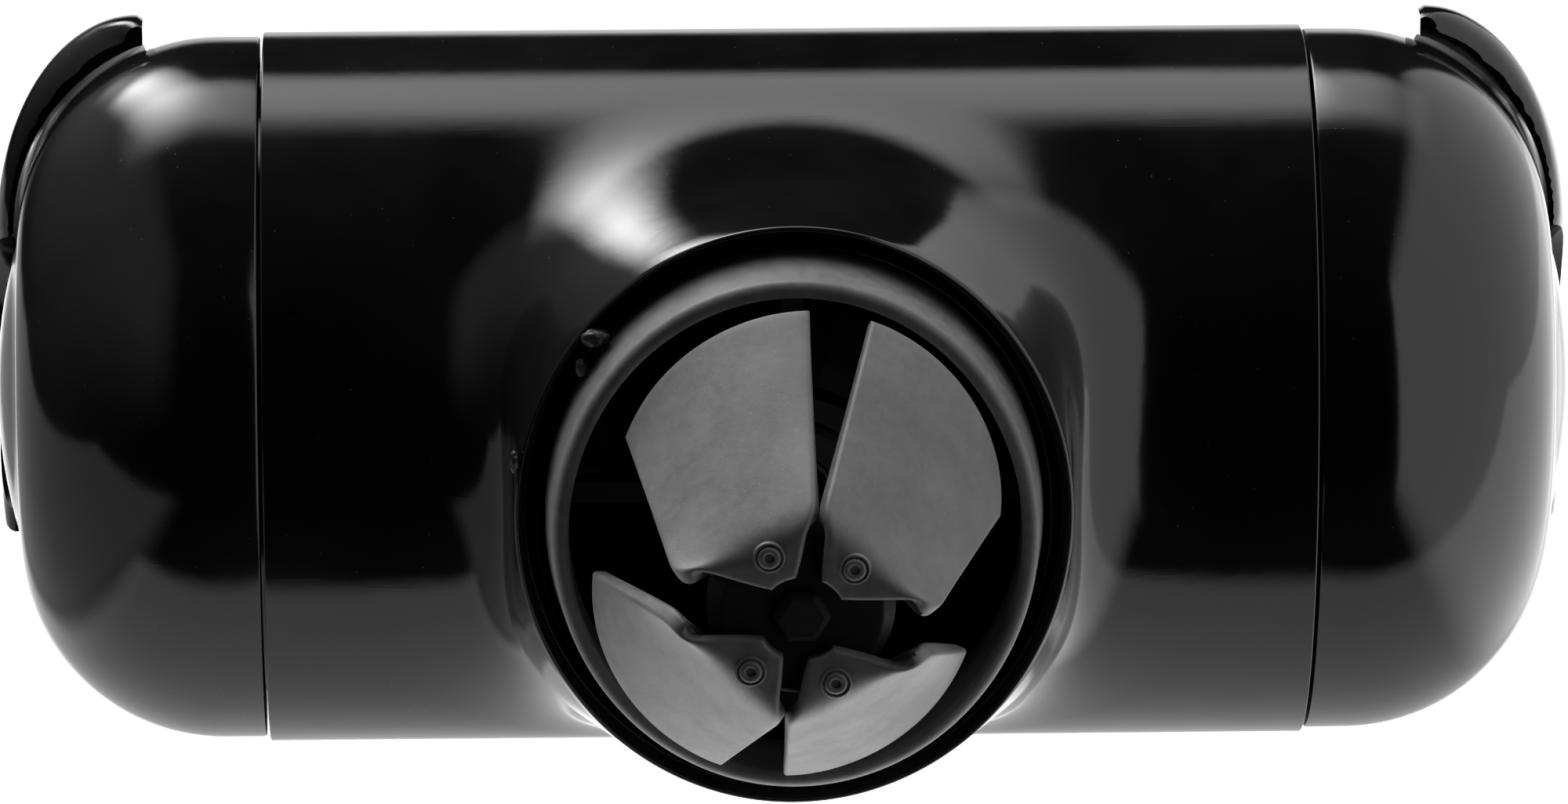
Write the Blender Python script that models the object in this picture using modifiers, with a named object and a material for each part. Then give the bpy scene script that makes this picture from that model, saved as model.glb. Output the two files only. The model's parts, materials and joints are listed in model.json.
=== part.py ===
"""Wave maker pump: a horizontal barrel casing with a short forward outlet, two end caps with
rear intake grilles, a sealed motor behind a four-bladed propeller, and a rear magnet mount.

The world origin is the centre of the mount's flat rear face, which lies against the tank wall.
+X runs along the barrel, +Z is up and the outlet points along -Y.  All lengths are in metres.
Inside the script, a "forward distance" is measured from the barrel's centre towards -Y.
"""

import math

import bmesh
import bpy
from mathutils import Vector

MM = 0.001
GAP = 0.3 * MM

# ---- driving dimensions -------------------------------------------------------------------
PUMP_CENTRE = Vector((0.0, -56.0, 5.0)) * MM

BARREL_HALF_DEPTH = 27.0 * MM
BARREL_HALF_HEIGHT = 32.2 * MM
BARREL_HALF_LENGTH = 46.0 * MM
CASING_WALL = 2.4 * MM
OVAL = BARREL_HALF_DEPTH / BARREL_HALF_HEIGHT

OUTLET_HALF_WIDTH = 24.2 * MM
OUTLET_HALF_HEIGHT = 26.4 * MM
RIM_FORWARD = 36.0 * MM
# The outlet's foot fans out to a rounded outline on the barrel, this far along and around it.
FILLET_HALF_LENGTH = 39.0 * MM
FILLET_HALF_ANGLE = math.radians(70)
FILLET_SQUARENESS = 2.2
FILLET_RISE = 0.6
FILLET_PULL_TUBE = 0.8
FILLET_PULL_BARREL = 0.75
# How far the tube's foot moves out towards that outline, on the diagonals and at the top.
FLARE_DIAGONAL = 0.35
FLARE_TOP = 0.2

CAP_STEP = 0.4 * MM
CAP_CORNER = 18.0 * MM
CAP_CORNER_START = 50.0 * MM
CAP_CROWN = 2.0 * MM
CAP_WALL = 2.4 * MM
SPIGOT_RADIUS = 27.6 * MM
SPIGOT_START = 38.0 * MM

GRILLE_START = 56.7 * MM
GRILLE_FRONT = 4.3 * MM
GRILLE_LOW = -15.0 * MM
# The grille's outside is a quarter of an ellipse: (radius, distance from the middle) of its centre
# and of its half axes.
GRILLE_CENTRE = (14.0 * MM, 57.3 * MM)
GRILLE_REACH = (19.9 * MM, 13.1 * MM)
INTAKE_LOW = -13.0 * MM
INTAKE_HIGH = 20.0 * MM
SLOT_WIDTH = 1.6 * MM
SLOT_PITCH = 2.9 * MM

LIP_PROUD = 5.0 * MM
LIP_OUTER = 21.5 * MM
LIP_NOSE_OUTER = 20.9 * MM
LIP_OPENING = 19.5 * MM
LIP_OVAL = 23.7 / 21.5

HUB_RADIUS = 8.0 * MM
HUB_FRONT = 59.9 * MM
BLADE_ROOT_FORWARD = 61.7 * MM
BLADE_TIP_FORWARD = 42.7 * MM
BLADE_THICKNESS = 1.5 * MM
BLADE_LONG_TIP = 21.3 * MM
BLADE_SHORT_TIP = 17.7 * MM
BLADE_PIN_CIRCLE = 6.3 * MM
BLADE_PIN_RADIUS = 1.0 * MM
# name: (pin angle, side the short corner is on, long edge angle, short edge angle), degrees
BLADES = {
    "upper_right": (46.0, -1, 26.5, 38.5),
    "upper_left": (116.5, 1, 29.5, 30.0),
    "lower_left": (226.0, -1, 26.5, 38.5),
    "lower_right": (296.5, 1, 29.5, 30.0),
}

HINGE_Y = -20.6 * MM
HINGE_PIN_RADIUS = 1.6 * MM
HINGE_EYE_RADIUS = 4.0 * MM
HINGE_EYE_HALF = 4.0 * MM
EAR_THICKNESS = 3.0 * MM
TURNTABLE_RADIUS = 14.0 * MM
TURNTABLE_FRONT = -14.1 * MM
TURNTABLE_REAR = -11.6 * MM
PUCK_RADIUS = 16.0 * MM
PUCK_FRONT = -11.3 * MM
PUCK_REAR = -2.3 * MM
PAD_FRONT = -2.0 * MM

CAP_SCREW_X = 43.2 * MM
CAP_SCREW_Z = 12.0 * MM
GLAND_X = 30.0 * MM
STEPS = 32


# ---- scene helpers ------------------------------------------------------------------------
def clear_scene():
    """Remove every object, so that the script starts from an empty scene."""
    for obj in list(bpy.data.objects):
        bpy.data.objects.remove(obj, do_unlink=True)


def new_collection(name):
    """A collection linked to the scene."""
    collection = bpy.data.collections.new(name)
    bpy.context.scene.collection.children.link(collection)
    return collection


def material(name, colour, roughness, metallic=0.0):
    """A Principled material, made once for each name."""
    mat = bpy.data.materials.get(name) or bpy.data.materials.new(name)
    mat.use_nodes = True
    shader = mat.node_tree.nodes["Principled BSDF"]
    shader.inputs["Base Color"].default_value = (*colour, 1.0)
    shader.inputs["Roughness"].default_value = roughness
    shader.inputs["Metallic"].default_value = metallic
    return mat


def make_empty(name, location, parent=None):
    """An empty on a joint's axis, given its place in the world."""
    empty = bpy.data.objects.new(name, None)
    PARTS.objects.link(empty)
    hang(empty, location, parent)
    return empty


def world_place(obj):
    """The world place of an unrotated chain of parents."""
    place = obj.location.copy()
    while obj.parent:
        obj = obj.parent
        place += obj.location
    return place


def hang(obj, location, parent):
    """Parent an object and put its origin at a place in the world."""
    obj.parent = parent
    obj.location = Vector(location) - (world_place(parent) if parent else Vector())


def link_mesh(name, bm, collection):
    """An object from a bmesh, shaded smooth with sharp edges kept."""
    mesh = bpy.data.meshes.new(name)
    bm.to_mesh(mesh)
    bm.free()
    mesh.shade_smooth()
    mesh.set_sharp_from_angle(angle=math.radians(35))
    obj = bpy.data.objects.new(name, mesh)
    collection.objects.link(obj)
    return obj


def hide_cutter(obj):
    """Mark an object as a cutter."""
    obj.hide_render = True
    obj.display_type = "WIRE"
    return obj


def boolean(obj, cutter, operation="DIFFERENCE"):
    """Cut, join or trim an object with a cutter."""
    modifier = obj.modifiers.new(f"{operation.lower()}_{cutter.name}", "BOOLEAN")
    modifier.operation = operation
    modifier.solver = "EXACT"
    modifier.object = cutter


def box(name, low, high, collection):
    """A box between two corners, its origin at the world's."""
    bm = bmesh.new()
    bmesh.ops.create_cube(bm, size=1.0)
    low = Vector(low)
    high = Vector(high)
    for vert in bm.verts:
        vert.co = (low + high) / 2 + Vector(a * b for a, b in zip(vert.co, high - low))
    return link_mesh(name, bm, collection)


def rod(name, start, end, radius, collection, segments=20):
    """A cylinder between two points of the world, its origin at the start."""
    start = Vector(start)
    axis = Vector(end) - start
    bm = bmesh.new()
    bmesh.ops.create_cone(bm, cap_ends=True, segments=segments, radius1=radius, radius2=radius,
                          depth=axis.length)
    turn = Vector((0, 0, 1)).rotation_difference(axis.normalized()).to_matrix().to_4x4()
    for vert in bm.verts:
        vert.co = turn @ (vert.co + Vector((0, 0, axis.length / 2)))
    obj = link_mesh(name, bm, collection)
    obj.location = start
    return obj


def turned(name, profile, collection, steps=STEPS):
    """A profile of (radius, height) points turned about the object's own Z axis.

    The profile runs down the outer side and comes back up the inner side, where there is one.
    It is closed, except along the axis itself.
    """
    bm = bmesh.new()
    verts = [bm.verts.new((radius, 0, height)) for radius, height in profile]
    for first, second in zip(verts, verts[1:] + verts[:1]):
        if first.co.x > 0 or second.co.x > 0:
            bm.edges.new((first, second))
    obj = link_mesh(name, bm, collection)
    screw = obj.modifiers.new("turn", "SCREW")
    screw.steps = steps
    screw.render_steps = steps
    screw.use_merge_vertices = True
    screw.merge_threshold = 0.00002
    return obj


def forward_turned(name, profile, parent, collection=None, steps=STEPS):
    """A turned piece on the shaft's axis; its heights are forward distances."""
    obj = turned(name, profile, collection or PARTS, steps)
    obj.rotation_euler.x = math.radians(90)
    hang(obj, PUMP_CENTRE, parent)
    return obj


def sideways_turned(name, profile, side, parent, collection=None, steps=STEPS):
    """A turned piece about the barrel's own axis, squeezed to the barrel's oval."""
    obj = turned(name, profile, collection or PARTS, steps)
    obj.rotation_euler.y = side * math.radians(90)
    obj.scale.y = OVAL
    hang(obj, PUMP_CENTRE, parent)
    return obj


def arc(centre, radius, start_deg, end_deg, count):
    """Points of a circular arc, both ends included."""
    angles = [math.radians(start_deg + (end_deg - start_deg) * i / count) for i in range(count + 1)]
    return [(centre[0] + radius * math.cos(a), centre[1] + radius * math.sin(a)) for a in angles]


def mm(*pairs):
    """Profile points given in millimetres."""
    return [(a * MM, b * MM) for a, b in pairs]


# ---- casing -------------------------------------------------------------------------------
def barrel_point(x, phi):
    """A point of the barrel's outside; phi is 0 at the front and 90 degrees at the top."""
    return Vector((x, -BARREL_HALF_DEPTH * math.cos(phi), BARREL_HALF_HEIGHT * math.sin(phi)))


def patch_border(across, around):
    """Border points (x, phi) of the barrel's front half, counterclockwise seen from the front."""
    quarter = math.pi / 2
    xs = [BARREL_HALF_LENGTH * (1 - 2 * i / across) for i in range(across)]
    phis = [quarter * (2 * i / around - 1) for i in range(around)]
    right = [(BARREL_HALF_LENGTH, phi) for phi in phis]
    top = [(x, quarter) for x in xs]
    left = [(-BARREL_HALF_LENGTH, -phi) for phi in phis]
    bottom = [(-x, -quarter) for x in xs]
    return right + top + left + bottom


def outlet_line(border, blend_steps, barrel_steps):
    """Points from the outlet's rim over the filleted foot to one border point of the barrel."""
    unrolled = BARREL_HALF_LENGTH / (math.pi / 2)
    theta = math.atan2(border[1] * unrolled, border[0])
    x_tube = OUTLET_HALF_WIDTH * math.cos(theta)
    z_tube = OUTLET_HALF_HEIGHT * math.sin(theta)
    share_x = abs(math.cos(theta)) / FILLET_HALF_LENGTH
    share_phi = abs(math.sin(theta)) / (FILLET_HALF_ANGLE * unrolled)
    reach = (share_x ** FILLET_SQUARENESS + share_phi ** FILLET_SQUARENESS) ** (-1 / FILLET_SQUARENESS)
    foot_place = Vector((x_tube, math.asin(z_tube / BARREL_HALF_HEIGHT)))
    end_place = Vector((reach * math.cos(theta), reach * math.sin(theta) / unrolled))
    flare = FLARE_DIAGONAL * math.sin(2 * theta) ** 2 + FLARE_TOP * math.sin(theta) ** 2
    foot_place = foot_place.lerp(end_place, flare)
    foot = barrel_point(*foot_place)
    end = barrel_point(*end_place)
    slope = (end - barrel_point(*foot_place.lerp(end_place, 0.98))).normalized()
    rim = Vector((x_tube, -RIM_FORWARD, z_tube))
    start = foot.lerp(rim, FILLET_RISE)
    first = start.lerp(foot, FILLET_PULL_TUBE)
    second = end - slope * (end - foot).length * FILLET_PULL_BARREL
    points = [rim, rim.lerp(start, 0.5)]
    for i in range(blend_steps + 1):
        t = i / blend_steps
        u = 1 - t
        points.append(start * u ** 3 + first * 3 * u * u * t + second * 3 * u * t * t + end * t ** 3)
    for i in range(1, barrel_steps + 1):
        points.append(barrel_point(*end_place.lerp(Vector(border), i / barrel_steps)))
    return points


def barrel_casing(parent):
    """The barrel with its outlet, moulded in one piece and open at both ends."""
    across, around, back = 8, 10, 10
    bm = bmesh.new()
    lines = [[bm.verts.new(p) for p in outlet_line(b, 4, 2)] for b in patch_border(across, around)]
    for line, following in zip(lines, lines[1:] + lines[:1]):
        for a, b, c, d in zip(line, line[1:], following[1:], following):
            bm.faces.new((a, b, c, d))
    top = [line[-1] for line in lines[around:around + across + 1]]
    bottom = [line[-1] for line in lines[2 * around + across:]] + [lines[0][-1]]
    rows = [top]
    for i in range(1, back):
        phi = math.pi * (0.5 + i / back)
        rows.append([bm.verts.new(barrel_point(v.co.x, phi)) for v in top])
    rows.append(list(reversed(bottom)))
    for row, following in zip(rows, rows[1:]):
        for a, b, c, d in zip(row, row[1:], following[1:], following):
            bm.faces.new((a, b, c, d))
    bmesh.ops.recalc_face_normals(bm, faces=bm.faces)
    bm.faces.ensure_lookup_table()
    if bm.faces[0].normal.dot(bm.faces[0].calc_center_median()) < 0:
        bmesh.ops.reverse_faces(bm, faces=bm.faces)
    casing = link_mesh("barrel_casing", bm, PARTS)
    wall = casing.modifiers.new("wall", "SOLIDIFY")
    wall.thickness = CASING_WALL
    wall.offset = -1.0
    hang(casing, PUMP_CENTRE, parent)
    casing.data.materials.append(material("gloss_black", (0.012, 0.012, 0.012), 0.12))
    return casing


def screw_places():
    """Name, x and z of each cap screw, from the barrel's centre."""
    return [(f"{side}_cap_screw_{level}", x * CAP_SCREW_X, z * CAP_SCREW_Z)
            for side, x in (("left", -1), ("right", 1)) for level, z in (("upper", 1), ("lower", -1))]


def rear_surface(z):
    """How far behind the barrel's centre its rear surface lies at a height."""
    return BARREL_HALF_DEPTH * math.sqrt(1 - (z / BARREL_HALF_HEIGHT) ** 2)


def cap_screws(parent, casing, caps):
    """Four screws from behind, through the casing into the caps' spigots."""
    head_radius, head_height, shank_radius, shank_length = 2.3 * MM, 1.3 * MM, 1.2 * MM, 5.2 * MM
    for name, x, z in screw_places():
        seat = PUMP_CENTRE + Vector((x, rear_surface(abs(z) - head_radius) + GAP, z))
        profile = [(0, head_height), (head_radius * 0.8, head_height),
                   (head_radius, head_height * 0.6), (head_radius, 0),
                   (shank_radius, 0), (shank_radius, -shank_length + 1 * MM), (0, -shank_length)]
        screw = turned(name, profile, PARTS, steps=10)
        screw.rotation_euler.x = math.radians(-90)
        hang(screw, seat, parent)
        screw.data.materials.append(material("stainless", (0.6, 0.6, 0.62), 0.3, 1.0))
        hole = rod(f"cut_{name}", seat - Vector((0, 8 * MM, 0)), seat + Vector((0, 4 * MM, 0)),
                   shank_radius + GAP, CUTTERS, 10)
        hide_cutter(hole)
        boolean(casing, hole)
        boolean(caps["left" if x < 0 else "right"], hole)


# ---- caps and intakes ---------------------------------------------------------------------
def cap_outside(clearance=0.0):
    """The cap's outer side as (radius, distance from the barrel's middle), from the crown down."""
    shoulder = BARREL_HALF_HEIGHT - CAP_STEP
    centre = (shoulder - CAP_CORNER, CAP_CORNER_START)
    crown = [(centre[0] * t, centre[1] + CAP_CORNER + CAP_CROWN * (1 - t * t))
             for t in (0.0, 0.6)]
    corner = arc(centre, CAP_CORNER, 90, 0, 5)
    return [(r + (clearance if r > centre[0] else 0), h + clearance) for r, h in crown + corner]


def end_cap(side_name, side, parent):
    """A domed cup with a spigot that slides into the casing."""
    outside = cap_outside()
    shoulder = outside[-1][0]
    inner_corner = arc((shoulder - CAP_CORNER, CAP_CORNER_START), CAP_CORNER - CAP_WALL, 0, 90, 4)
    inner_end = inner_corner[-1][1]
    seat = BARREL_HALF_LENGTH + GAP
    spigot_bore = SPIGOT_RADIUS - CAP_WALL
    profile = outside + [(shoulder, seat), (SPIGOT_RADIUS, seat), (SPIGOT_RADIUS, SPIGOT_START),
                         (spigot_bore, SPIGOT_START), (spigot_bore, seat + CAP_WALL)]
    profile += inner_corner + [(0, inner_end)]
    cap = sideways_turned(f"{side_name}_end_cap", profile, side, parent)
    cap.data.materials.append(material("gloss_black", (0.012, 0.012, 0.012), 0.12))
    low = (side * (GRILLE_START + 1.5 * MM), 10 * MM, INTAKE_LOW)
    high = (side * (GRILLE_START + 9.5 * MM), 40 * MM, INTAKE_HIGH)
    window = hide_cutter(box(f"cut_{side_name}_intake", low, high, CUTTERS))
    if side < 0:
        window.data.flip_normals()
    window.location = PUMP_CENTRE
    boolean(cap, window)
    return cap


def intake_grille(side_name, side, parent):
    """The strainer cover over the cap's rear, standing proud at the upper corner."""
    outer = [(12.0 * MM, GRILLE_CENTRE[1] + GRILLE_REACH[1])]
    outer += [(GRILLE_CENTRE[0] + GRILLE_REACH[0] * across, GRILLE_CENTRE[1] + GRILLE_REACH[1] * along)
              for across, along in arc((0, 0), 1.0, 90, 0, 6)]
    outer += [(outer[-1][0] - 0.6 * MM, GRILLE_START)]
    hugging = [(r, h) for r, h in cap_outside(0.5 * MM) if r > 12.0 * MM and h > GRILLE_START]
    inner = [(31.1 * MM, GRILLE_START)] + hugging[::-1] + [(12.0 * MM, hugging[0][1] + 0.5 * MM)]
    grille = sideways_turned(f"{side_name}_intake_grille", outer + inner, side, parent)
    grille.data.materials.append(material("satin_black", (0.02, 0.02, 0.02), 0.35))
    behind = box(f"keep_{side_name}_rear", (-90 * MM, GRILLE_FRONT, GRILLE_LOW),
                 (90 * MM, 60 * MM, 50 * MM), CUTTERS)
    hide_cutter(behind).location = PUMP_CENTRE
    boolean(grille, behind, "INTERSECT")
    for index in range(3):
        middle = side * (GRILLE_START + 3.0 * MM + SLOT_PITCH * index)
        slot = box(f"cut_{side_name}_slot_{index + 1}",
                   (middle - SLOT_WIDTH / 2, 11 * MM, INTAKE_LOW + 1 * MM),
                   (middle + SLOT_WIDTH / 2, 40 * MM, INTAKE_HIGH - 1 * MM), CUTTERS)
        hide_cutter(slot).location = PUMP_CENTRE
        boolean(grille, slot)
    return grille


def cap_seal(side_name, side, parent):
    """The seal ring on the spigot, inside the casing's mouth."""
    profile = mm((28.9, 40.2), (28.9, 38.9), (27.9, 38.9), (27.9, 40.2))
    seal = sideways_turned(f"{side_name}_cap_seal", profile, side, parent)
    seal.data.materials.append(material("rubber", (0.02, 0.02, 0.02), 0.8))


# ---- outlet -------------------------------------------------------------------------------
def nozzle_ring(parent):
    """The grey sleeve in the outlet, its rounded lip standing proud of the casing's rim."""
    front = RIM_FORWARD + LIP_PROUD
    mid = (LIP_OPENING + LIP_NOSE_OUTER) / 2
    nose = (LIP_NOSE_OUTER - LIP_OPENING) / 2
    profile = arc((mid, front - nose), nose, 150, 0, 3)
    profile += [(LIP_OUTER - GAP, RIM_FORWARD + 0.6 * MM), (LIP_OUTER, RIM_FORWARD),
                (LIP_OUTER, 31 * MM), (20.2 * MM, 31 * MM), (LIP_OPENING, RIM_FORWARD)]
    ring = forward_turned("nozzle_ring", profile, parent, steps=40)
    ring.scale.y = LIP_OVAL
    ring.data.materials.append(material("matte_grey", (0.10, 0.10, 0.10), 0.6))


def bearing_spider(parent):
    """Four arms that hold the motor's nose in the middle of the outlet."""
    ring = mm((8.8, 29.5), (8.8, 26.0), (6.8, 26.0), (6.8, 29.5))
    spider = forward_turned("bearing_spider", ring, parent)
    spider.data.materials.append(material("satin_black", (0.02, 0.02, 0.02), 0.35))
    reach_x = OUTLET_HALF_WIDTH - CASING_WALL - 0.6 * MM
    reach_z = OUTLET_HALF_HEIGHT - CASING_WALL - 0.6 * MM
    arms = (("right", (7.6, -0.9), (reach_x / MM, 0.9)), ("left", (-reach_x / MM, -0.9), (-7.6, 0.9)),
            ("up", (-0.9, 7.6), (0.9, reach_z / MM)), ("down", (-0.9, -reach_z / MM), (0.9, -7.6)))
    for name, low, high in arms:
        arm = box(f"join_spider_{name}", (low[0] * MM, -29.0 * MM, low[1] * MM),
                  (high[0] * MM, -26.5 * MM, high[1] * MM), CUTTERS)
        hide_cutter(arm).location = PUMP_CENTRE
        boolean(spider, arm, "UNION")


# ---- motor --------------------------------------------------------------------------------
def motor(parent):
    """The sealed motor: canister, cover, stator, coils, rotor well, bushes and rear cushion."""
    canister = mm((3.8, 30.0), (6.0, 30.0), (6.5, 29.5), (6.5, 24.0), (15.0, 19.0), (15.0, -18.0),
                  (13.4, -18.0), (13.4, 18.0), (8.2, 20.5), (3.8, 21.5))
    pieces = (
        ("motor_canister", canister, "satin_black", (0.02, 0.02, 0.02), 0.35, 0.0),
        ("motor_rear_cover", mm((0, -18.3), (15.0, -18.3), (15.0, -19.4), (14.6, -19.8), (0, -19.8)),
         "satin_black", (0.02, 0.02, 0.02), 0.35, 0.0),
        ("stator_core", mm((12.9, 10.0), (12.9, -10.0), (8.3, -10.0), (8.3, 10.0)),
         "lamination_steel", (0.3, 0.3, 0.32), 0.45, 1.0),
        ("front_coil", mm((12.4, 15.4), (12.9, 14.9), (12.9, 10.3), (8.3, 10.3), (8.3, 15.4)),
         "copper", (0.72, 0.35, 0.17), 0.4, 1.0),
        ("rear_coil", mm((12.9, -10.3), (12.9, -14.9), (12.4, -15.4), (8.3, -15.4), (8.3, -10.3)),
         "copper", (0.72, 0.35, 0.17), 0.4, 1.0),
        ("rotor_well", mm((8.0, 16.5), (8.0, -17.0), (0, -17.0), (0, -15.8), (7.2, -15.8), (7.2, 16.5)),
         "satin_black", (0.02, 0.02, 0.02), 0.35, 0.0),
        ("front_bearing_bush", mm((3.5, 29.6), (3.5, 22.4), (1.8, 22.4), (1.8, 29.6)),
         "ceramic", (0.85, 0.84, 0.8), 0.25, 0.0),
        ("rear_bearing_bush", mm((6.9, -12.0), (6.9, -15.4), (1.8, -15.4), (1.8, -12.0)),
         "ceramic", (0.85, 0.84, 0.8), 0.25, 0.0),
        ("rear_cushion", mm((0, -20.1), (5.5, -20.1), (5.5, -23.7), (0, -23.7)),
         "rubber", (0.02, 0.02, 0.02), 0.8, 0.0),
    )
    for name, profile, slot, colour, roughness, metallic in pieces:
        piece = forward_turned(name, profile, parent, steps=20)
        piece.data.materials.append(material(slot, colour, roughness, metallic))


# ---- propeller ----------------------------------------------------------------------------
def on_shaft(radius, angle_deg, forward):
    """A world point given around the shaft, counterclockwise from +X seen from the front."""
    angle = math.radians(angle_deg)
    return PUMP_CENTRE + Vector((radius * math.cos(angle), -forward, radius * math.sin(angle)))


def rotor(parent):
    """What spins as one: magnet, shaft, thrust washer, hub and hub nut."""
    steel = ("stainless", (0.6, 0.6, 0.62), 0.3, 1.0)
    black = ("satin_black", (0.02, 0.02, 0.02), 0.35)
    hub_side = [(HUB_RADIUS - 1.1 * MM, HUB_FRONT), (HUB_RADIUS, HUB_FRONT - 2.3 * MM)]
    hub_body = mm((8.0, 56.4), (4.6, 51.0), (3.6, 33.0), (3.6, 31.5), (1.8, 31.5))
    nut = mm((0, 61.4), (2.0, 61.4), (2.5, 60.9), (2.5, 60.2), (1.8, 60.2), (1.8, 60.9), (0, 60.9))
    pieces = (
        ("propeller_shaft", mm((0, 60.6), (1.2, 60.6), (1.5, 60.3), (1.5, -15.0), (0, -15.0)), 16, steel),
        ("rotor_magnet", mm((6.3, 9.5), (6.6, 9.0), (6.6, -9.0), (6.3, -9.5), (1.8, -9.5), (1.8, 9.5)), 20,
         ("magnet", (0.06, 0.06, 0.065), 0.5, 0.6)),
        ("thrust_washer", mm((3.2, 31.2), (3.2, 30.3), (1.8, 30.3), (1.8, 31.2)), 16,
         ("ceramic", (0.85, 0.84, 0.8), 0.25)),
        ("hub_nut", nut, 6, black),
        ("propeller_hub", hub_side + hub_body + [(1.8 * MM, HUB_FRONT)], 24, black),
    )
    for name, profile, steps, look in pieces:
        piece = forward_turned(name, profile, parent, steps=steps)
        piece.data.materials.append(material(*look))
    return piece


def blade_rows(long_tip, short_tip, across):
    """Rows of (radius, angle, forward) from the flat root plate to the tip's arc."""
    root = ((3.7, 18, 18, 0.0), (5.0, 25, 27, 0.0), (7.2, 30, 37, 0.0), (8.6, 32.5, 44, 0.5))
    rows = []
    for radius, long_edge, short_edge, drop in root:
        rows.append([(radius * MM, -long_edge + (long_edge + short_edge) * t / across,
                      BLADE_ROOT_FORWARD - drop * MM) for t in range(across + 1)])
    start, fall_start = 9.8 * MM, BLADE_ROOT_FORWARD - 2.0 * MM
    for s in (0.0, 0.25, 0.5, 0.75, 1.0):
        long_edge = 33.0 + (long_tip - 33.0) * s
        short_edge = 45.0 + (short_tip - 45.0) * s
        row = []
        for t in range(across + 1):
            share = t / across
            tip = BLADE_LONG_TIP + (BLADE_SHORT_TIP - BLADE_LONG_TIP) * share ** 1.4
            forward = fall_start + (BLADE_TIP_FORWARD - fall_start) * s
            row.append((start + (tip - start) * s, -long_edge + (long_edge + short_edge) * share, forward))
        rows.append(row)
    return rows


def blade(name, spec, parent, hub):
    """One raked blade, free to swing on its own pin, which runs parallel to the shaft."""
    pin_angle, side, long_tip, short_tip = spec
    pin_place = on_shaft(BLADE_PIN_CIRCLE, pin_angle, BLADE_ROOT_FORWARD)
    bm = bmesh.new()
    grid = [[bm.verts.new(on_shaft(r, pin_angle + side * a, f) - pin_place) for r, a, f in row]
            for row in blade_rows(long_tip, short_tip, 6)]
    for row, following in zip(grid, grid[1:]):
        for a, b, c, d in zip(row, row[1:], following[1:], following):
            bm.faces.new((a, b, c, d))
    bm.faces.ensure_lookup_table()
    bm.normal_update()
    if bm.faces[0].normal.y > 0:
        bmesh.ops.reverse_faces(bm, faces=bm.faces)
    piece = link_mesh(f"blade_{name}", bm, PARTS)
    wall = piece.modifiers.new("thickness", "SOLIDIFY")
    wall.thickness = BLADE_THICKNESS
    wall.offset = -1.0
    hang(piece, pin_place, parent)
    piece.data.materials.append(material("matte_grey", (0.10, 0.10, 0.10), 0.6))
    back = Vector((0, 6.0 * MM, 0))
    pin = rod(f"blade_pin_{name}", pin_place + back, pin_place - Vector((0, 0.5 * MM, 0)),
              BLADE_PIN_RADIUS, PARTS, 12)
    hang(pin, pin_place + back, parent)
    pin.data.materials.append(material("satin_black", (0.02, 0.02, 0.02), 0.35))
    hole = rod(f"cut_pin_{name}", pin_place + back + Vector((0, GAP, 0)),
               pin_place - Vector((0, 4 * MM, 0)), BLADE_PIN_RADIUS + GAP, CUTTERS, 12)
    hide_cutter(hole)
    boolean(piece, hole)
    boolean(hub, hole)


# ---- rear mount ---------------------------------------------------------------------------
def hinge_lug(parent):
    """The lug on the casing's rear that the tilt hinge turns in."""
    face = PUMP_CENTRE.y + BARREL_HALF_DEPTH + GAP
    lug = box("hinge_lug", (-11 * MM, face, -8 * MM), (11 * MM, face + 2 * MM, 8 * MM), PARTS)
    eye = rod("join_lug_eye", (-HINGE_EYE_HALF, HINGE_Y, 0), (HINGE_EYE_HALF, HINGE_Y, 0),
              HINGE_EYE_RADIUS, CUTTERS, 16)
    web = box("join_lug_web", (-HINGE_EYE_HALF, face + 1 * MM, -HINGE_EYE_RADIUS),
              (HINGE_EYE_HALF, HINGE_Y, HINGE_EYE_RADIUS), CUTTERS)
    bore = rod("cut_lug_bore", (-10 * MM, HINGE_Y, 0), (10 * MM, HINGE_Y, 0),
               HINGE_PIN_RADIUS + GAP, CUTTERS, 16)
    boolean(lug, hide_cutter(web), "UNION")
    boolean(lug, hide_cutter(eye), "UNION")
    boolean(lug, hide_cutter(bore))
    hang(lug, (0, 0, 0), parent)
    lug.data.materials.append(material("satin_black", (0.02, 0.02, 0.02), 0.35))


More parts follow.
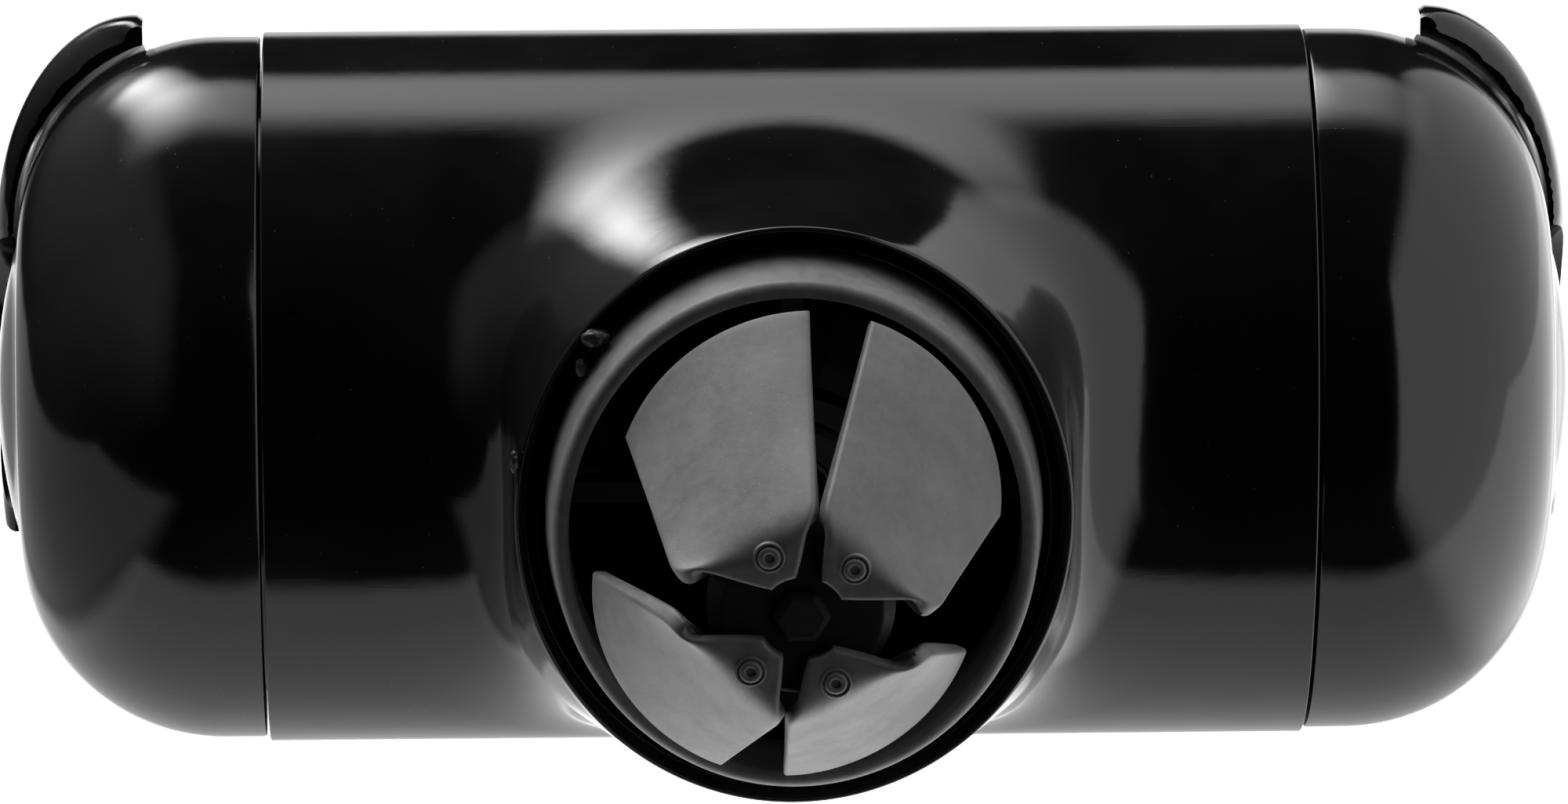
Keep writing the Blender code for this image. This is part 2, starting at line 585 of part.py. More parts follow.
def turntable(parent):
    """The turning disc with two ears that carry the tilt hinge's pin."""
    disc = rod("swivel_turntable", (0, TURNTABLE_REAR, 0), (0, TURNTABLE_FRONT, 0),
               TURNTABLE_RADIUS, PARTS, 24)
    hang(disc, (0, TURNTABLE_REAR, 0), parent)
    disc.data.materials.append(material("satin_black", (0.02, 0.02, 0.02), 0.35))
    for name, side in (("left", -1), ("right", 1)):
        near = side * (HINGE_EYE_HALF + GAP)
        far = near + side * EAR_THICKNESS
        low, high = min(near, far), max(near, far)
        web = box(f"join_ear_web_{name}", (low, HINGE_Y, -HINGE_EYE_RADIUS),
                  (high, TURNTABLE_FRONT + 1 * MM, HINGE_EYE_RADIUS), CUTTERS)
        end = rod(f"join_ear_end_{name}", (low, HINGE_Y, 0), (high, HINGE_Y, 0),
                  HINGE_EYE_RADIUS, CUTTERS, 16)
        boolean(disc, hide_cutter(web), "UNION")
        boolean(disc, hide_cutter(end), "UNION")
    bore = rod("cut_ear_bore", (-12 * MM, HINGE_Y, 0), (12 * MM, HINGE_Y, 0),
               HINGE_PIN_RADIUS + GAP, CUTTERS, 16)
    boolean(disc, hide_cutter(bore))
    seat_profile = mm((0, 3.0), (3.6, 3.0), (3.6, 0.0), (1.8, -1.2), (1.8, -6.0), (0, -6.0))
    seat = turned("cut_screw_seat", seat_profile, CUTTERS, 16)
    seat.rotation_euler.x = math.radians(90)
    seat.location = (0, TURNTABLE_FRONT, 0)
    boolean(disc, hide_cutter(seat))
    pin_profile = mm((0, 9.6), (2.8, 9.6), (2.8, 7.6), (1.6, 7.6), (1.6, -9.4), (0, -9.4))
    pin = turned("hinge_pin", pin_profile, PARTS, 16)
    pin.rotation_euler.y = math.radians(90)
    hang(pin, (0, HINGE_Y, 0), parent)
    pin.data.materials.append(material("stainless", (0.6, 0.6, 0.62), 0.3, 1.0))
    nut = turned("hinge_nut", mm((3.4, 9.2), (3.4, 7.6), (1.9, 7.6), (1.9, 9.2)), PARTS, 6)
    nut.rotation_euler.y = math.radians(-90)
    hang(nut, (0, HINGE_Y, 0), parent)
    nut.data.materials.append(material("stainless", (0.6, 0.6, 0.62), 0.3, 1.0))


def mount_puck(parent):
    """The fixed puck: housing, magnet, rubber face and the screw that keeps the turntable."""
    front, rear, edge, wall = -PUCK_FRONT, -PUCK_REAR, 1.5 * MM, 1.6 * MM
    bore = 1.5 * MM
    housing = [(bore, front), (PUCK_RADIUS - edge, front), (PUCK_RADIUS, front - edge), (PUCK_RADIUS, rear),
               (PUCK_RADIUS - wall, rear), (PUCK_RADIUS - wall, front - 2 * MM), (bore, front - 2 * MM)]
    black = ("satin_black", (0.02, 0.02, 0.02), 0.35)
    pieces = (
        ("puck_housing", housing, 24, black),
        ("mount_magnet", mm((14.0, 9.0), (14.0, 3.0), (3.2, 3.0), (3.2, 9.0)), 20,
         ("magnet", (0.06, 0.06, 0.065), 0.5, 0.6)),
        ("puck_rear_cover", mm((0, 2.7), (14.0, 2.7), (14.0, 2.3), (0, 2.3)), 20, black),
        ("mount_pad", [(0, -PAD_FRONT), (PUCK_RADIUS, -PAD_FRONT), (PUCK_RADIUS, 0), (0, 0)], 24,
         ("rubber", (0.02, 0.02, 0.02), 0.8)),
        ("turntable_screw", mm((0, 14.1), (3.2, 14.1), (1.2, 12.7), (1.2, 5.0), (0, 4.6)), 16,
         ("stainless", (0.6, 0.6, 0.62), 0.3, 1.0)),
    )
    for name, profile, steps, look in pieces:
        piece = turned(name, profile, PARTS, steps)
        piece.rotation_euler.x = math.radians(90)
        hang(piece, (0, 0, 0), parent)
        piece.data.materials.append(material(*look))


def cable_gland(parent, casing):
    """The cord's inlet on the casing's rear, with an open bore."""
    seat = PUMP_CENTRE + Vector((GLAND_X, BARREL_HALF_DEPTH, 0))
    profile = mm((4.2, 8.0), (4.6, 7.6), (4.6, 3.4), (5.6, 3.2), (5.6, 0.4), (3.0, 0.4), (3.0, -4.0),
                 (2.2, -4.0), (2.2, 8.0))
    gland = turned("cable_gland", profile, PARTS, 16)
    gland.rotation_euler.x = math.radians(-90)
    hang(gland, seat, parent)
    gland.data.materials.append(material("rubber", (0.02, 0.02, 0.02), 0.8))
    hole = rod("cut_gland_hole", seat - Vector((0, 6 * MM, 0)), seat + Vector((0, 3 * MM, 0)), 3.3 * MM,
               CUTTERS, 16)
    boolean(casing, hide_cutter(hole))


def build():
    """Make every piece and hang it on the empty of the joint that moves it."""
    swivel_axis = make_empty("swivel_axis", (0, TURNTABLE_REAR, 0))
    tilt_axis = make_empty("tilt_axis", (0, HINGE_Y, 0), swivel_axis)
    spin_axis = make_empty("spin_axis", PUMP_CENTRE, tilt_axis)
    casing = barrel_casing(tilt_axis)
    caps = {}
    for side_name, side in (("left", -1), ("right", 1)):
        caps[side_name] = end_cap(side_name, side, tilt_axis)
        intake_grille(side_name, side, tilt_axis)
        cap_seal(side_name, side, tilt_axis)
    cap_screws(tilt_axis, casing, caps)
    cable_gland(tilt_axis, casing)
    nozzle_ring(tilt_axis)
    bearing_spider(tilt_axis)
    motor(tilt_axis)
    hub = rotor(spin_axis)
    for name, spec in BLADES.items():
        blade(name, spec, spin_axis, hub)
    hinge_lug(tilt_axis)
    turntable(swivel_axis)
    mount_puck(None)


clear_scene()
PARTS = new_collection("wave_maker_pump")
CUTTERS = new_collection("cutters")
build()
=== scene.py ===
"""The looks of a wave maker pump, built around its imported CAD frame.

Each piece that shows is made again here at a fine resolution, from the dimensions that the frame
gives and a few that it can't, with rounded edges and a material of its own.  The sealed inner
pieces stay the CAD's own, in better materials.  Lengths are in metres, +Z is up and the outlet
points along -Y; a "forward distance" is measured from the barrel's centre towards -Y.
"""

import json
import math

import bmesh
import bpy
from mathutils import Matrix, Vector, noise


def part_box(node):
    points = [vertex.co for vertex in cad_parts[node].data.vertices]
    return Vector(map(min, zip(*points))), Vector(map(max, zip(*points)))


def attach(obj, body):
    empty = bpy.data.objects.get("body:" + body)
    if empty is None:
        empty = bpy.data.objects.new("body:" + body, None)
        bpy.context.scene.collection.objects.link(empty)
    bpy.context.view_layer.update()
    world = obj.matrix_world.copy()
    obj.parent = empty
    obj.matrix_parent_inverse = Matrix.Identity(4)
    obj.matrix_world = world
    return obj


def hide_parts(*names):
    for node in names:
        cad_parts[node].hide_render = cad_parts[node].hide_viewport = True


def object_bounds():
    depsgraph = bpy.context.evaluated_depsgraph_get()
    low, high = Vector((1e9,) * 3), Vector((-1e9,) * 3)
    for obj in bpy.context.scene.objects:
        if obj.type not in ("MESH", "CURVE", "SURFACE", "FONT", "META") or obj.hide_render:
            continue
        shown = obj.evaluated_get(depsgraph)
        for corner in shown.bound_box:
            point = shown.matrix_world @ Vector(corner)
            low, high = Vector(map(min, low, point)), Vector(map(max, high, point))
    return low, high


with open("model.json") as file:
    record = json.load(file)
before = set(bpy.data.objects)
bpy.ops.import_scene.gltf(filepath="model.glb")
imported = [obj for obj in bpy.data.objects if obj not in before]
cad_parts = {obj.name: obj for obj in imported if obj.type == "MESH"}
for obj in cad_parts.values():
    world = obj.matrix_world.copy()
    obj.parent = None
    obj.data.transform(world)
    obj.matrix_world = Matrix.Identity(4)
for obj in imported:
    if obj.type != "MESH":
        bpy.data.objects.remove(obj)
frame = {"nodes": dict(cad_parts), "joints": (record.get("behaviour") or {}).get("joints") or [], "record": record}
CAD_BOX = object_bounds()

MM = 0.001
GAP = 0.3 * MM


def joint_place(name):
    """Where a joint's axis is."""
    return Vector(next(joint["pos_m"] for joint in frame["joints"] if joint["name"] == name))


BODY_OF = {node: body for body, nodes in frame["record"]["behaviour"]["bodies"].items() for node in nodes}
SLOT_OF = {part["node"]: part["material_slot"] for part in frame["record"]["subparts"]}

# ---- dimensions ---------------------------------------------------------------------------
PUMP_CENTRE = joint_place("propeller_spin")
CASING_LOW, CASING_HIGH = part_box("barrel_casing")
BARREL_HALF_LENGTH = CASING_HIGH.x
BARREL_HALF_HEIGHT = CASING_HIGH.z - PUMP_CENTRE.z
BARREL_HALF_DEPTH = CASING_HIGH.y - PUMP_CENTRE.y
RIM_FORWARD = PUMP_CENTRE.y - CASING_LOW.y
OVAL = BARREL_HALF_DEPTH / BARREL_HALF_HEIGHT
CASING_WALL = 2.4 * MM

OUTLET_HALF_WIDTH = 24.2 * MM
OUTLET_HALF_HEIGHT = 26.4 * MM
FILLET_HALF_LENGTH = 39.0 * MM
FILLET_HALF_ANGLE = math.radians(70)
FILLET_SQUARENESS = 2.2
FILLET_RISE = 0.6
FILLET_PULL_TUBE = 0.8
FILLET_PULL_BARREL = 0.75
FLARE_DIAGONAL = 0.35
FLARE_TOP = 0.2
RIM_ROUNDING = 0.4 * MM
RIM_STEPS = 3
CASING_EDGE = 0.15 * MM
CASING_EDGE_ANGLE = math.radians(40)

CAP_STEP = 0.4 * MM
CAP_SHOULDER = BARREL_HALF_HEIGHT - CAP_STEP
CAP_CORNER = 18.0 * MM
CAP_CORNER_START = 50.0 * MM
CAP_CROWN = 2.0 * MM
CAP_WALL = 2.4 * MM
CAP_SEAM_SOFTNESS = 0.25 * MM
SPIGOT_RADIUS = 27.6 * MM
SPIGOT_START = 38.0 * MM

GRILLE_START = 56.7 * MM
GRILLE_FRONT = 4.3 * MM
GRILLE_LOW = -15.0 * MM
# The grille's outside is a quarter of an ellipse: (radius, distance from the middle) of its centre
# and of its half axes.
GRILLE_CENTRE = (14.0 * MM, 57.3 * MM)
GRILLE_REACH = (19.9 * MM, 13.1 * MM)
GRILLE_CLEARANCE = 0.5 * MM
GRILLE_SEAT_RADIUS = 31.1 * MM
GRILLE_STEPS = 28
# It swells from a small share of its fullness at the front to all of it, this far behind.
SWELL_LENGTH = 6.0 * MM
SWELL_LEAST = 0.15
GRILLE_TURNS = 360
SLOT_COUNT = 3
SLOT_FIRST = 3.0 * MM
SLOT_WIDTH = 1.6 * MM
SLOT_PITCH = 2.9 * MM
SLOT_FRONT = 11.0 * MM
SLOT_REAR = 40.0 * MM
SLOT_LOW = -12.0 * MM
SLOT_HIGH = 19.0 * MM
BEYOND = 90.0 * MM
BEYOND_HEIGHT = 50.0 * MM

LIP_FRONT = PUMP_CENTRE.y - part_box("nozzle_ring")[0].y
LIP_OUTER = 21.5 * MM
LIP_OVAL = 23.7 / 21.5

BLADE_ROOT_FORWARD = 61.7 * MM
BLADE_TIP_FORWARD = 42.7 * MM
BLADE_THICKNESS = 1.5 * MM
BLADE_ROUNDING = 0.4 * MM
BLADE_FOLD = 7.9 * MM
BLADE_FOLD_START = -33
BLADE_FOLD_END = 45
BLADE_TIP_CURVE = 1.4
BLADE_LONG_TIP = 21.3 * MM
BLADE_SHORT_TIP = 17.7 * MM
# name: (side the short corner is on, long edge angle, short edge angle), degrees
BLADES = {
    "upper_right": (-1, 26.5, 38.5),
    "upper_left": (1, 29.5, 30.0),
    "lower_left": (-1, 26.5, 38.5),
    "lower_right": (1, 29.5, 30.0),
}

# name: (place from the barrel's centre, half sizes)
NUBS = {
    "gate_stub": ((-17.1 * MM, -36.3 * MM, 16.6 * MM), (1.2 * MM, 0.7 * MM, 0.9 * MM)),
    "gate_stub_small": ((-18.3 * MM, -36.2 * MM, 13.9 * MM), (0.5 * MM, 0.5 * MM, 0.8 * MM)),
    "rim_flash": ((-24.1 * MM, -35.8 * MM, 5.3 * MM), (0.45 * MM, 0.5 * MM, 0.9 * MM)),
}
# How much is taken off the sharp edges of these CAD nodes.
SOFTENED = {
    "swivel_turntable": 0.3 * MM,
    "hinge_lug": 0.35 * MM,
    "hinge_pin": 0.25 * MM,
    "hinge_nut": 0.2 * MM,
    "hub_nut": 0.2 * MM,
}

FINE = 128
EDGE_STEPS = 4
ON_AXIS = 1e-9
SMOOTH_ANGLE = math.radians(38)


# ---- mesh helpers -------------------------------------------------------------------------
def finish_piece(name, bm, body, materials, nodes=()):
    """A piece from a closed mesh: shading, materials, the body it rides on, what it stands for."""
    bmesh.ops.recalc_face_normals(bm, faces=bm.faces)
    mesh = bpy.data.meshes.new(name)
    bm.to_mesh(mesh)
    bm.free()
    mesh.shade_smooth()
    mesh.set_sharp_from_angle(angle=SMOOTH_ANGLE)
    for material in materials:
        mesh.materials.append(material)
    obj = bpy.data.objects.new(name, mesh)
    bpy.context.scene.collection.objects.link(obj)
    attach(obj, body)
    if nodes:
        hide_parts(*nodes)
    return obj


def strip(bm, first, second):
    """Quads between two rows of vertices, or triangles where they share one."""
    for a, b, c, d in zip(first, first[1:], second[1:], second):
        corners = list(dict.fromkeys((a, b, c, d)))
        if len(corners) > 2:
            bm.faces.new(corners)


def add_revolved(bm, profile, place, steps=FINE):
    """A closed profile of (radius, height), turned; place() puts (radius, angle, height)."""
    profile = list(profile) + [profile[0]]
    on_axis = {h: bm.verts.new(place(0, 0, h)) for r, h in profile if r < ON_AXIS}
    columns = []
    for k in range(steps):
        angle = 2 * math.pi * k / steps
        column = []
        for r, h in profile[:-1]:
            column.append(on_axis[h] if r < ON_AXIS else bm.verts.new(place(r, angle, h)))
        columns.append(column + [column[0]])
    for column, following in zip(columns, columns[1:] + columns[:1]):
        strip(bm, column, following)


def revolved(name, profile, place, body, materials, nodes=(), steps=FINE):
    """A turned piece."""
    bm = bmesh.new()
    add_revolved(bm, profile, place, steps)
    return finish_piece(name, bm, body, materials, nodes)


def rounded(corners, steps=5):
    """A closed profile through (radius, height, rounding) corners, given in millimetres."""
    points = []
    for (r, h, size), before, after in zip(corners, corners[-1:] + corners[:-1], corners[1:] + corners[:1]):
        corner = Vector((r, h))
        if not size:
            points.append(corner)
            continue
        back = Vector(before[:2]) - corner
        onward = Vector(after[:2]) - corner
        half = back.angle(onward) / 2
        cut = min(size / math.tan(half), 0.48 * back.length, 0.48 * onward.length)
        radius = cut * math.tan(half)
        centre = corner + (back.normalized() + onward.normalized()).normalized() * radius / math.sin(half)
        start = corner + back.normalized() * cut - centre
        end = corner + onward.normalized() * cut - centre
        for i in range(steps + 1):
            points.append(centre + start.lerp(end, i / steps).normalized() * radius)
    return [(max(p.x, 0.0) * MM, p.y * MM) for p in points]


def arc(centre, radius, start_deg, end_deg, count):
    """Points of a circular arc, both ends included."""
    angles = [math.radians(start_deg + (end_deg - start_deg) * i / count) for i in range(count + 1)]
    return [(centre[0] + radius * math.cos(a), centre[1] + radius * math.sin(a)) for a in angles]


def about_shaft(radius, angle, forward):
    """A place around the propeller's shaft, counterclockwise from +X seen from the front."""
    return PUMP_CENTRE + Vector((radius * math.cos(angle), -forward, radius * math.sin(angle)))


def about_outlet(radius, angle, forward):
    """A place around the outlet's oval, which is taller than it is wide."""
    return PUMP_CENTRE + Vector((radius * math.cos(angle), -forward, radius * LIP_OVAL * math.sin(angle)))


def about_barrel(side):
    """Places around the barrel's own axis, squeezed to its oval, heights towards one end."""
    def place(radius, angle, height):
        depth = -radius * OVAL * math.cos(angle)
        return PUMP_CENTRE + Vector((side * height, depth, radius * math.sin(angle)))
    return place


def about_mount(radius, angle, height):
    """A place around the swivel's axis, heights measured forward from the wall."""
    return Vector((radius * math.cos(angle), -height, radius * math.sin(angle)))


def about_pin(centre, axis):
    """Places around an axis through a point, heights along it."""
    axis = Vector(axis)
    across = axis.orthogonal().normalized()
    up = axis.cross(across)

    def place(radius, angle, height):
        return centre + axis * height + across * radius * math.cos(angle) + up * radius * math.sin(angle)
    return place


# ---- materials ----------------------------------------------------------------------------
class Graph:
    """A node tree, written as expressions whose values are sockets or constants."""

    def __init__(self, tree):
        self.tree = tree

    def add(self, kind, links=(), **settings):
        """A node with its settings and inputs."""
        node = self.tree.nodes.new(kind)
        for key, value in settings.items():
            setattr(node, key, value)
        for key, value in dict(links).items():
            if isinstance(value, bpy.types.NodeSocket):
                self.tree.links.new(value, node.inputs[key])
            else:
                node.inputs[key].default_value = value
        return node

    def ramp(self, value, low, high, at_low, at_high, shape="LINEAR"):
        """A ramp from one value to another, clamped."""
        links = {"Value": value, "From Min": low, "From Max": high, "To Min": at_low, "To Max": at_high}
        node = self.add("ShaderNodeMapRange", links, clamp=True, interpolation_type=shape)
        return node.outputs["Result"]

    def math(self, operation, a, b=0.0):
        """One sum."""
        return self.add("ShaderNodeMath", {0: a, 1: b}, operation=operation).outputs[0]

    def dot(self, a, b):
        """The dot product of two vectors."""
        return self.add("ShaderNodeVectorMath", {0: a, 1: b}, operation="DOT_PRODUCT").outputs["Value"]


class Nodes(Graph):
    """A material's node tree."""

    def __init__(self, name):
        self.material = bpy.data.materials.new(name)
        self.material.use_nodes = True
        super().__init__(self.material.node_tree)
        self.shader = self.tree.nodes["Principled BSDF"]
        self.place = self.add("ShaderNodeTexCoord").outputs["Object"]

    def noise(self, size, detail=3.0, roughness=0.55, stretch=(1, 1, 1)):
        """Noise whose features are about this size in metres."""
        place = self.add("ShaderNodeMapping", {"Vector": self.place, "Scale": stretch}).outputs[0]
        links = {"Vector": place, "Scale": 1 / size, "Detail": detail, "Roughness": roughness}
        return self.add("ShaderNodeTexNoise", links).outputs["Fac"]

    def specks(self, spacing, share, softness=0.3):
        """Small round specks, 1 inside and 0 outside."""
        links = {"Vector": self.place, "Scale": 1 / spacing, "Randomness": 1.0}
        distance = self.add("ShaderNodeTexVoronoi", links).outputs["Distance"]
        return self.ramp(distance, share * (1 - softness), share, 1.0, 0.0)

    def mix(self, factor, a, b):
        """A mix of two colours."""
        node = self.add("ShaderNodeMix", {0: factor}, data_type="RGBA")
        for index, value in ((6, a), (7, b)):
            if isinstance(value, bpy.types.NodeSocket):
                self.tree.links.new(value, node.inputs[index])
            else:
                node.inputs[index].default_value = (*value, 1.0)
        return node.outputs[2]

    def bump(self, height, distance, strength=1.0, under=None):
        """Relief of a depth in metres."""
        links = {"Height": height, "Distance": distance, "Strength": strength}
        if under is not None:
            links["Normal"] = under
        return self.add("ShaderNodeBump", links).outputs["Normal"]

    def set(self, **inputs):
        """The shader's inputs, by name with underscores; returns the material."""
        for key, value in inputs.items():
            socket = self.shader.inputs[key.replace("_", " ")]
            if isinstance(value, bpy.types.NodeSocket):
                self.tree.links.new(value, socket)
            else:
                socket.default_value = (*value, 1.0) if isinstance(value, tuple) else value
        return self.material


def make_gloss_black():
    """Polished black plastic: handling haze, dust specks, fine scratches and a slight orange peel."""
    n = Nodes("gloss_black")
    haze = n.noise(14 * MM, 4.0, 0.6)
    scratches = n.noise(0.5 * MM, 2.0, 0.5, (0.05, 1.0, 1.0))
    dust = n.specks(1.3 * MM, 0.035)
    colour = n.mix(n.ramp(haze, 0.35, 0.75, 0.0, 1.0), (0.0035, 0.0035, 0.0037), (0.008, 0.008, 0.0082))
    colour = n.mix(dust, colour, (0.11, 0.11, 0.11))
    roughness = n.ramp(haze, 0.3, 0.8, 0.075, 0.13)
    roughness = n.math("MAXIMUM", roughness, n.math("MULTIPLY", dust, 0.55))
    peel = n.bump(n.noise(3.5 * MM, 2.0), 0.012 * MM)
    relief = n.bump(n.ramp(scratches, 0.62, 0.75, 0.0, 1.0), 0.002 * MM, 0.6, peel)
    return n.set(Base_Color=colour, Roughness=roughness, Normal=relief, IOR=1.5)


def make_satin_black():
    """Black plastic with a fine spark-eroded grain."""
    n = Nodes("satin_black")
    patches = n.noise(5 * MM, 3.0)
    grain = n.noise(0.22 * MM, 2.0, 0.7)
    colour = n.mix(n.ramp(patches, 0.35, 0.7, 0.0, 1.0), (0.006, 0.006, 0.0065), (0.014, 0.014, 0.0145))
    colour = n.mix(n.specks(0.9 * MM, 0.05), colour, (0.06, 0.06, 0.06))
    return n.set(Base_Color=colour, Roughness=n.ramp(patches, 0.3, 0.7, 0.36, 0.5),
                 Normal=n.bump(grain, 0.02 * MM, 0.8))


def make_hub_black_painted_shade():
    """Black plastic, rough and dull, made darker and less glossy than the other black plastic as painted shade for
    the hub among the blade roots.
    """
    n = Nodes("hub_black_painted_shade")
    mottle = n.noise(1.6 * MM, 3.0, 0.6)
    grain = n.noise(0.2 * MM, 2.0, 0.7)
    # Painted shade: the hub's black is set darker than the other black plastic, so the gaps between the blade
    # roots read as shade.
    colour = n.mix(n.ramp(mottle, 0.35, 0.7, 0.0, 1.0), (0.002, 0.002, 0.0021), (0.005, 0.005, 0.0051))
    return n.set(Base_Color=colour, Roughness=n.ramp(mottle, 0.3, 0.7, 0.62, 0.78),
                 Specular_IOR_Level=0.12, Normal=n.bump(grain, 0.02 * MM, 0.8))


def make_matte_grey():
    """Charcoal moulded plastic, mottled where it flowed, with a fine grain."""
    n = Nodes("matte_grey")
    clouds = n.noise(6 * MM, 4.0, 0.6)
    mottle = n.noise(0.9 * MM, 3.0, 0.65)
    grain = n.noise(0.18 * MM, 2.0, 0.7)
    tone = n.math("ADD", n.math("MULTIPLY", clouds, 0.6), n.math("MULTIPLY", mottle, 0.4))
    colour = n.mix(n.ramp(tone, 0.38, 0.64, 0.0, 1.0), (0.085, 0.085, 0.086), (0.135, 0.135, 0.136))
    colour = n.mix(n.specks(1.1 * MM, 0.06), colour, (0.22, 0.22, 0.22))
    relief = n.bump(grain, 0.02 * MM, 0.7, n.bump(mottle, 0.03 * MM, 0.5))
    return n.set(Base_Color=colour, Roughness=n.ramp(mottle, 0.3, 0.7, 0.44, 0.6), Normal=relief)


def make_rubber():
    """Soft black rubber."""
    n = Nodes("rubber")
    grain = n.noise(0.3 * MM, 3.0, 0.7)
    colour = n.mix(n.noise(4 * MM, 3.0), (0.012, 0.012, 0.0125), (0.03, 0.03, 0.031))
    return n.set(Base_Color=colour, Roughness=n.ramp(grain, 0.3, 0.7, 0.72, 0.88),
                 Normal=n.bump(grain, 0.03 * MM, 0.8))


def make_metal(name, dark, light, rough, stretch, depth):
    """Metal with fine lines along one direction."""
    n = Nodes(name)
    lines = n.noise(0.35 * MM, 3.0, 0.6, stretch)
    colour = n.mix(n.ramp(lines, 0.3, 0.7, 0.0, 1.0), dark, light)
    return n.set(Base_Color=colour, Metallic=1.0, Roughness=n.ramp(lines, 0.3, 0.7, *rough),
                 Normal=n.bump(lines, depth, 0.7))


def make_ceramic():
    """Ground ceramic."""
    n = Nodes("ceramic")
    grain = n.noise(0.4 * MM, 3.0)
    colour = n.mix(grain, (0.78, 0.77, 0.72), (0.86, 0.85, 0.81))
    return n.set(Base_Color=colour, Roughness=n.ramp(grain, 0.3, 0.7, 0.2, 0.34),
                 Normal=n.bump(grain, 0.005 * MM, 0.6))


# The colours between the lines and on them, the range of roughness, the way the lines run, their depth.
METALS = {
    "stainless": ((0.5, 0.5, 0.51), (0.68, 0.68, 0.69), (0.2, 0.34), (1, 0.08, 1), 0.004 * MM),
    "lamination_steel": ((0.16, 0.16, 0.17), (0.34, 0.34, 0.36), (0.35, 0.55), (0.1, 1, 0.1), 0.03 * MM),
    "copper": ((0.45, 0.16, 0.07), (0.78, 0.38, 0.2), (0.25, 0.4), (0.1, 1, 0.1), 0.05 * MM),
    "magnet": ((0.05, 0.05, 0.055), (0.09, 0.09, 0.095), (0.4, 0.6), (1, 1, 1), 0.02 * MM),
}
LOOKS = {
    "gloss_black": make_gloss_black(),
    "satin_black": make_satin_black(),
    "hub_black_painted_shade": make_hub_black_painted_shade(),
    "matte_grey": make_matte_grey(),
    "rubber": make_rubber(),
    "ceramic": make_ceramic(),
    **{name: make_metal(name, *values) for name, values in METALS.items()},
}


# ---- casing -------------------------------------------------------------------------------
def barrel_point(x, phi):
    """A point of the barrel's outside, from its centre; phi is 0 at the front, 90 degrees on top."""
    return Vector((x, -BARREL_HALF_DEPTH * math.cos(phi), BARREL_HALF_HEIGHT * math.sin(phi)))


def patch_border(across, around):
    """Border points (x, phi) of the barrel's front half, counterclockwise seen from the front."""
    quarter = math.pi / 2
    xs = [BARREL_HALF_LENGTH * (1 - 2 * i / across) for i in range(across)]
    phis = [quarter * (2 * i / around - 1) for i in range(around)]
    right = [(BARREL_HALF_LENGTH, phi) for phi in phis]
    top = [(x, quarter) for x in xs]
    left = [(-BARREL_HALF_LENGTH, -phi) for phi in phis]
    bottom = [(-x, -quarter) for x in xs]
    return right + top + left + bottom


def outlet_line(border, tube_steps, blend_steps, barrel_steps):
    """Points from the outlet's rim over the filleted foot to one border point of the barrel."""
    unrolled = BARREL_HALF_LENGTH / (math.pi / 2)
    theta = math.atan2(border[1] * unrolled, border[0])
    x_tube = OUTLET_HALF_WIDTH * math.cos(theta)
    z_tube = OUTLET_HALF_HEIGHT * math.sin(theta)
    share_x = abs(math.cos(theta)) / FILLET_HALF_LENGTH
    share_phi = abs(math.sin(theta)) / (FILLET_HALF_ANGLE * unrolled)
    reach = (share_x ** FILLET_SQUARENESS + share_phi ** FILLET_SQUARENESS) ** (-1 / FILLET_SQUARENESS)
    foot_place = Vector((x_tube, math.asin(z_tube / BARREL_HALF_HEIGHT)))
    end_place = Vector((reach * math.cos(theta), reach * math.sin(theta) / unrolled))
    flare = FLARE_DIAGONAL * math.sin(2 * theta) ** 2 + FLARE_TOP * math.sin(theta) ** 2
    foot_place = foot_place.lerp(end_place, flare)
    foot = barrel_point(*foot_place)
    end = barrel_point(*end_place)
    nearly_end = barrel_point(*foot_place.lerp(end_place, 0.98))
    slope = (end - nearly_end).normalized()
    rim = Vector((x_tube, -RIM_FORWARD, z_tube))
    start = foot.lerp(rim, FILLET_RISE)
    first = start.lerp(foot, FILLET_PULL_TUBE)
    second = end - slope * (end - foot).length * FILLET_PULL_BARREL
    inward = -Vector((x_tube, 0, z_tube)).normalized() * RIM_ROUNDING
    back = Vector((0, RIM_ROUNDING, 0))
    points = []
    for i in range(RIM_STEPS + 1):
        turn = math.radians(90 * i / RIM_STEPS)
        points.append(rim + inward * (1 - math.sin(turn)) + back * (1 - math.cos(turn)))
    points += [points[-1].lerp(start, i / tube_steps) for i in range(1, tube_steps)]
    for i in range(blend_steps + 1):
        t = i / blend_steps
        u = 1 - t
        points.append(start * u ** 3 + first * 3 * u * u * t + second * 3 * u * t * t + end * t ** 3)
    for i in range(1, barrel_steps + 1):
        points.append(barrel_point(*end_place.lerp(Vector(border), i / barrel_steps)))
    return points


